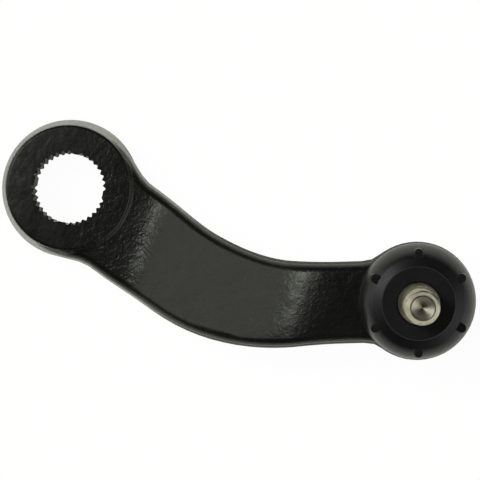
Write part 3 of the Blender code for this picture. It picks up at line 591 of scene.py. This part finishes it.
def lower_outline():
    """Closed section: the wall below the meeting face, the foot, the bead and the inside."""
    outer = shoulder_arc(height_angle(MEETING_Z, 0.0), 0, 0.0, 24)
    middle = (0.35 * FOOT_RADIUS + 0.65 * BOOT_RADIUS, 0.55 * FOOT_Z + 0.45 * WIDEST_Z)
    wall = along_profile([outer[-1], middle, (FOOT_RADIUS, FOOT_Z)], 0.3 * MM)
    foot = [(FOOT_RADIUS, FOOT_Z), (BEAD_RADIUS, FOOT_Z), (BEAD_RADIUS, BEAD_TOP)]
    foot += [(INSIDE_RADIUS, BEAD_TOP), (INSIDE_RADIUS, LEDGE_Z)]
    foot = along_profile(foot, 0.5 * MM)
    ledge_angle = height_angle(LEDGE_Z, BOOT_WALL)
    inner = shoulder_arc(ledge_angle, height_angle(MEETING_Z, BOOT_WALL), BOOT_WALL, 12)
    rise = along_profile([foot[-1], inner[0]], 0.4 * MM)
    face = along_profile([inner[-1], outer[0]], 0.6 * MM)
    return np.vstack([outer[:-1], wall[:-1], foot[:-1], rise[:-1], inner[:-1], face[:-1]])


print("outlines:", len(upper_outline()), "and", len(lower_outline()), "points")


# %% Rings that follow the stud
def lean_share(height):
    """How much of the stud's lean a height takes: none at the grip, all under the seat."""
    top = BOOT_TOP - BOOT_WALL
    t = np.clip((height - GRIP_TOP) / (top - GRIP_TOP), 0.0, 1.0)
    return t * t * (3 - 2 * t)


def follow_stud(points):
    """Turns each point about the ball's centre by its height's share of the stud's lean."""
    lean = -math.asin(STUD_AXIS[1]) * lean_share(points[..., 2])
    y, z = points[..., 1] - BALL[1], points[..., 2] - BALL[2]
    turned = points.copy()
    turned[..., 1] = BALL[1] + y * np.cos(lean) - z * np.sin(lean)
    turned[..., 2] = BALL[2] + y * np.sin(lean) + z * np.cos(lean)
    return turned


def boot_ring(name, outline, columns=200):
    angle = np.linspace(0, 2 * np.pi, columns, endpoint=False)[None, :]
    radius, height = outline[:, :1], outline[:, 1:]
    level = height + 0 * angle
    upright = np.stack([radius * np.cos(angle), radius * np.sin(angle), level], axis=-1)
    points = follow_stud(upright + [BALL[0], BALL[1], 0.0])
    return grid_mesh(name, points, BOOT_RUBBER, closed_rows=True)


BOOT_UPPER = boot_ring("boot_upper_ring", upper_outline())
BOOT_LOWER = boot_ring("boot_lower_ring", lower_outline())
print("rings have", len(BOOT_UPPER.data.polygons), "and", len(BOOT_LOWER.data.polygons), "faces")

# %% [markdown]
# ## Six lugs
#
# Each lug is a small flat-topped finger on the shoulder, rounded at its outer end. Its top is a
# stadium: the same outline shrinks to a line at the middle and runs down the sides to a root
# inside the wall. A Boolean joins the lugs to the upper ring, as they are one moulding.

# %% Make the lugs
LUG_COUNT = 6
LUG_TURN = 48.0
LUG_WIDTH = 4.0 * MM
LUG_INNER = 19.6 * MM
LUG_OUTER = 22.7 * MM
LUG_TOP = BOOT_TOP - 1.0 * MM
LUG_EDGE = 0.35 * MM
LUG_SINK = 7.0 * MM
LUG_ROOT = 1.1 * MM


def lug_outline(count=40):
    """Direction and spine point for each angle round a stadium that lies along X."""
    angle = np.linspace(0, 2 * np.pi, count, endpoint=False)
    way = np.column_stack([np.cos(angle), np.sin(angle)])
    half = LUG_WIDTH / 2
    spine = np.where(np.cos(angle) > 0, LUG_OUTER - half, LUG_INNER)
    return way, np.column_stack([spine, np.zeros(count)])


def dome_height(radius):
    """Height of the shoulder's ellipse at a radius, level at the washer's rim."""
    across = np.clip((radius - WASHER_RADIUS) / (BOOT_RADIUS - WASHER_RADIUS), 0.0, 1.0)
    return WIDEST_Z + (BOOT_TOP - WIDEST_Z) * np.sqrt(1 - across**2)


def lug_points(turned):
    """Rows from the spine over the rounded top edge, down to a root just under the dome."""
    way, spine = lug_outline()
    half = LUG_WIDTH / 2
    bend = np.radians(np.linspace(90, 0, 6))
    rounded = half - LUG_EDGE + LUG_EDGE * np.cos(bend)
    reach = [0.02 * half, 0.5 * half, *rounded, half, 0.02 * half]
    drop = [0.0, 0.0, *(LUG_EDGE - LUG_EDGE * np.sin(bend)), LUG_SINK, LUG_SINK]
    plan = spine[None, :, :] + way[None, :, :] * np.array(reach)[:, None, None]
    x = plan[..., 0] * math.cos(turned) - plan[..., 1] * math.sin(turned)
    y = plan[..., 0] * math.sin(turned) + plan[..., 1] * math.cos(turned)
    z = LUG_TOP - np.array(drop)[:, None] + 0 * x
    z = np.maximum(z, dome_height(np.hypot(x, y)) - LUG_ROOT)
    return follow_stud(np.stack([x, y, z], axis=-1) + [BALL[0], BALL[1], 0.0])


def close_ends(piece):
    """Adds one face over the open ring at each end of a tube of points, then mends the normals."""
    form = bmesh.new()
    form.from_mesh(piece.data)
    rims = [edge for edge in form.edges if edge.is_boundary]
    bmesh.ops.holes_fill(form, edges=rims, sides=0)
    bmesh.ops.recalc_face_normals(form, faces=form.faces)
    form.to_mesh(piece.data)
    form.free()


def join_lug(ring, turned):
    lug = grid_mesh("lug", lug_points(turned), BOOT_RUBBER)
    close_ends(lug)
    union = ring.modifiers.new("join lug", "BOOLEAN")
    union.operation = "UNION"
    union.solver = "EXACT"
    union.object = lug
    return lug


LUGS = [
    join_lug(BOOT_UPPER, math.radians(LUG_TURN + 360 / LUG_COUNT * number))
    for number in range(LUG_COUNT)
]
bpy.context.view_layer.update()
apply_modifiers(BOOT_UPPER)
for lug in LUGS:
    bpy.data.objects.remove(lug)
print("upper ring with lugs has", len(BOOT_UPPER.data.polygons), "faces")


# %% Keep the rings' edges and hide the imported boot
def stud_point(height):
    """The point on the leaned line through the meeting face's middle, at an upright height."""
    lean = math.asin(STUD_AXIS[1]) * float(lean_share(MEETING_Z))
    rise = (height - BALL[2]) * np.array([0.0, math.sin(lean), math.cos(lean)])
    return tuple((BALL + rise).tolist())


for ring in (BOOT_UPPER, BOOT_LOWER):
    keep_edges(ring, 44)
    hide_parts("dust_boot")
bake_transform(BOOT_LOWER)
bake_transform(BOOT_UPPER)
print("the rings meet at", [round(value / MM, 2) for value in stud_point(MEETING_Z)], "mm")

# %% [markdown]
# ## Two springs
#
# Inside the socket a conical spring presses the lower seat against the ball, and a tiny one keeps
# the grease fitting's check ball on its mouth. Each is wound between the heights of the imported
# spring that it stands in for. A coil is a round wire carried along a helix: at each point of the
# path a ring of points lies square to the path's direction.
# The first and last turns lie flat, as on a spring with closed ends.


# %% Wind a coil
FLAT_TURNS = 0.4


def node_heights(name):
    """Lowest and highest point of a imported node."""
    heights = [corner[2] for corner in frame["nodes"][name].bound_box]
    return min(heights), max(heights)


def coil(name, radii, heights, turns, wire, per_turn=36, sides=14):
    """Round wire along a helix whose radius and height both change from foot to top."""
    part = np.linspace(0, 1, int(turns * per_turn) + 1)
    angle = 2 * np.pi * turns * part
    rise = np.clip((part * turns - FLAT_TURNS) / (turns - 2 * FLAT_TURNS), 0.0, 1.0)
    radius = radii[0] + (radii[1] - radii[0]) * part
    height = heights[0] + wire + (heights[1] - heights[0] - 2 * wire) * rise
    path = np.column_stack([radius * np.cos(angle), radius * np.sin(angle), height])
    path = np.vstack([path[:1], path, path[-1:]])
    thickness = np.full(len(path), wire)
    thickness[[0, -1]] = 0.0
    forward = np.gradient(path[1:-1], axis=0)
    forward = np.vstack([forward[:1], forward, forward[-1:]])
    forward /= np.linalg.norm(forward, axis=1)[:, None]
    outward = path * [1.0, 1.0, 0.0]
    outward -= forward * np.sum(outward * forward, axis=1)[:, None]
    outward /= np.linalg.norm(outward, axis=1)[:, None]
    side = np.cross(outward, forward)
    around = np.linspace(0, 2 * np.pi, sides, endpoint=False)[None, :, None]
    ring = outward[:, None, :] * np.cos(around) + side[:, None, :] * np.sin(around)
    points = path[:, None, :] + thickness[:, None, None] * ring
    piece = grid_mesh(name, points + [BALL[0], BALL[1], 0.0], SPRING_STEEL)
    close_poles(piece)
    bpy.context.view_layer.update()
    apply_modifiers(piece)
    keep_edges(piece, 50)
    return piece


# %% The preload spring and the check spring
PRELOAD_WIRE = 1.2 * MM
low, high = node_heights("preload_spring")
PRELOAD = coil("preload_coil", (11.8 * MM, 6.2 * MM), (low, high), 2.2, PRELOAD_WIRE)
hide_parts("preload_spring")
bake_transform(PRELOAD)

CHECK_WIRE = 0.18 * MM
low, high = node_heights("grease_check_spring")
CHECK = coil("grease_check_coil", (0.6875 * MM, 1.32 * MM), (low, high), 5, CHECK_WIRE, 24, 10)
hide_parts("grease_check_spring")
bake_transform(CHECK)
print("coils have", len(PRELOAD.data.polygons), "and", len(CHECK.data.polygons), "faces")

# %% [markdown]
# ## Camera
#
# The photograph looks straight down the bore. Its middle lies over a point between the eye and
# the ball, and the picture is turned so that the arm slopes down to the right. The lens follows
# from the distance and from the size of a millimetre in the picture.

# %% Place the camera
IMAGE_SIZE = 480
PIXELS_FOCAL = 3282.0
CAMERA_OVER = (76.5 * MM, 1.4 * MM)
CAMERA_HEIGHT = 1430 * MM
CAMERA_TURN = 17.95
SENSOR = 36.0

camera_data = bpy.data.cameras.new("camera")
camera_data.sensor_width = SENSOR
camera_data.lens = SENSOR * PIXELS_FOCAL / IMAGE_SIZE
camera_data.clip_start = 0.01
camera_data.clip_end = 20.0
camera = bpy.data.objects.new("camera", camera_data)
bpy.context.scene.collection.objects.link(camera)
camera.location = (*CAMERA_OVER, CAMERA_HEIGHT)
camera.rotation_euler = (0.0, 0.0, math.radians(CAMERA_TURN))
bpy.context.scene.camera = camera
print("lens", round(camera_data.lens, 1), "mm")

# %% [markdown]
# ## Floor, lamps and world
#
# A product like this is shot in a light tent. The hole over the object, which the camera looks
# through, stays dark, so level black faces look nearly black. A bright wall at the left and a
# weaker one at the right lie in the bends and on the boot's shoulder as soft sheens. The world
# holds these walls as smooth patches of light. A round softbox high on the upper left puts the
# small bright glints on the steel. A wide, soft lamp from the same side, near the zenith, gives
# the plain level at which a colour looks as it was written. It is hidden from reflections, or
# it would lie as a grey veil on every level face.


# %% Floor
FLOOR_SIZE = 6.0
FLOOR_Z = -0.5 * MM
CAMERA_SHARE = 0.97
MIRROR_SHARE = 0.12


def white_floor():
    """Nearly pure white to the camera. Reflections see mostly the lit floor and its shadow."""
    material, tree, shader, place = new_material("white_floor")
    shader.inputs["Base Color"].default_value = linear("#f2f4e6")
    shader.inputs["Roughness"].default_value = 0.8
    shine = add(tree, "ShaderNodeEmission", Strength=1.0)
    path = add(tree, "ShaderNodeLightPath")
    camera_share = add(
        tree,
        "ShaderNodeMath",
        links={0: path.outputs["Is Camera Ray"]},
        settings={"operation": "MULTIPLY"},
    )
    camera_share.inputs[1].default_value = CAMERA_SHARE
    mirrored = add(
        tree,
        "ShaderNodeMath",
        links={0: path.outputs["Is Glossy Ray"], 1: path.outputs["Is Transmission Ray"]},
        settings={"operation": "MAXIMUM"},
    )
    share = add(
        tree,
        "ShaderNodeMath",
        links={0: mirrored.outputs["Value"], 2: camera_share.outputs["Value"]},
        settings={"operation": "MULTIPLY_ADD"},
    )
    share.inputs[1].default_value = MIRROR_SHARE
    blend = add(
        tree,
        "ShaderNodeMixShader",
        links={0: share.outputs["Value"], 1: shader.outputs["BSDF"], 2: shine.outputs["Emission"]},
    )
    output = tree.nodes["Material Output"]
    tree.links.new(blend.outputs["Shader"], output.inputs["Surface"])
    return material


floor_mesh = bpy.data.meshes.new("floor")
half_floor = FLOOR_SIZE / 2
quarters = [(-1, -1), (1, -1), (1, 1), (-1, 1)]
floor_corners = [(x * half_floor, y * half_floor, 0.0) for x, y in quarters]
floor_mesh.from_pydata(floor_corners, [], [(0, 1, 2, 3)])
floor_mesh.materials.append(white_floor())
floor = bpy.data.objects.new("floor", floor_mesh)
floor.location = (0.0, 0.0, FLOOR_Z)
bpy.context.scene.collection.objects.link(floor)
print("floor", FLOOR_SIZE, "m")


# %% Light tent
def picture_way(turned, from_zenith):
    """Unit vector that points in a direction of the picture, so many degrees off the zenith."""
    azimuth = math.radians(turned + CAMERA_TURN)
    down = math.radians(from_zenith)
    level = math.sin(down)
    return (level * math.cos(azimuth), level * math.sin(azimuth), math.cos(down))


def patch(tree, place, way, radius, softness, radiance):
    """Round patch of light: full inside the radius, smoothly gone outside it, in degrees."""
    near = add(
        tree, "ShaderNodeVectorMath", links={0: place}, settings={"operation": "DOT_PRODUCT"}
    )
    near.inputs[1].default_value = way
    fall = add(
        tree,
        "ShaderNodeMapRange",
        links={"Value": near.outputs["Value"]},
        settings={"interpolation_type": "SMOOTHSTEP"},
        To_Max=radiance,
    )
    fall.inputs["From Min"].default_value = math.cos(math.radians(radius + softness))
    fall.inputs["From Max"].default_value = math.cos(math.radians(max(radius - softness, 0.0)))
    return fall.outputs["Result"]


TENT_WALLS = [
    ("left", picture_way(162, 54), 20, 12, 1.60),
    ("right", picture_way(-24, 54), 27, 9, 1.15),
]
TENT_LEVELS = [(0.0, 0.9), (0.12, 0.6), (0.32, 0.10), (0.7, 0.03), (1.0, 0.02)]
OVERHEAD_WAY = picture_way(148, 22)
SOFTBOX_PLACE = (-0.611, 0.172, 1.850)
SOFTBOX_AIM = (0.07, -0.01, 0.04)


def tent_world():
    """Dark overhead, pale towards the horizon, with the tent's bright walls added."""
    world = bpy.data.worlds.new("light_tent")
    world.use_nodes = True
    tree = world.node_tree
    tree.nodes.clear()
    place = add(tree, "ShaderNodeTexCoord").outputs["Generated"]
    height = add(tree, "ShaderNodeSeparateXYZ", links={"Vector": place}).outputs["Z"]
    total = ramp(tree, height, [(level, grey(radiance)) for level, radiance in TENT_LEVELS])
    for title, way, radius, softness, radiance in TENT_WALLS:
        wall = patch(tree, place, way, radius, softness, radiance)
        joined = add(tree, "ShaderNodeMath", links={0: total, 1: wall})
        joined.label = title
        total = joined.outputs["Value"]
    background = add(tree, "ShaderNodeBackground", links={"Strength": total})
    output = add(tree, "ShaderNodeOutputWorld")
    tree.links.new(background.outputs["Background"], output.inputs["Surface"])
    return world


bpy.context.scene.world = tent_world()


def overhead_lamp(strength, spread):
    """Soft light from nearly overhead that no reflection shows."""
    data = bpy.data.lights.new("overhead", "SUN")
    data.energy = strength
    data.angle = math.radians(spread)
    lamp = bpy.data.objects.new("overhead", data)
    bpy.context.scene.collection.objects.link(lamp)
    lamp.rotation_euler = Vector(OVERHEAD_WAY).to_track_quat("Z", "Y").to_euler()
    lamp.location = (0.0, 0.0, 1.0)
    lamp.visible_glossy = False
    return lamp


def softbox(place, radius, radiance):
    """Round lamp that faces the middle of the arm and gives off the radiance over its disc."""
    data = bpy.data.lights.new("softbox", "AREA")
    data.shape = "DISK"
    data.size = 2 * radius
    data.energy = radiance * math.pi * math.pi * radius**2
    lamp = bpy.data.objects.new("softbox", data)
    bpy.context.scene.collection.objects.link(lamp)
    lamp.location = place
    towards = Vector(SOFTBOX_AIM) - Vector(place)
    lamp.rotation_euler = towards.to_track_quat("-Z", "Y").to_euler()
    return lamp


overhead_lamp(strength=2.4, spread=26)
softbox(SOFTBOX_PLACE, radius=0.120, radiance=24.0)
print("tent walls:", [wall[0] for wall in TENT_WALLS])

# %% Set the view transform
scene = bpy.context.scene
scene.view_settings.view_transform = "Standard"
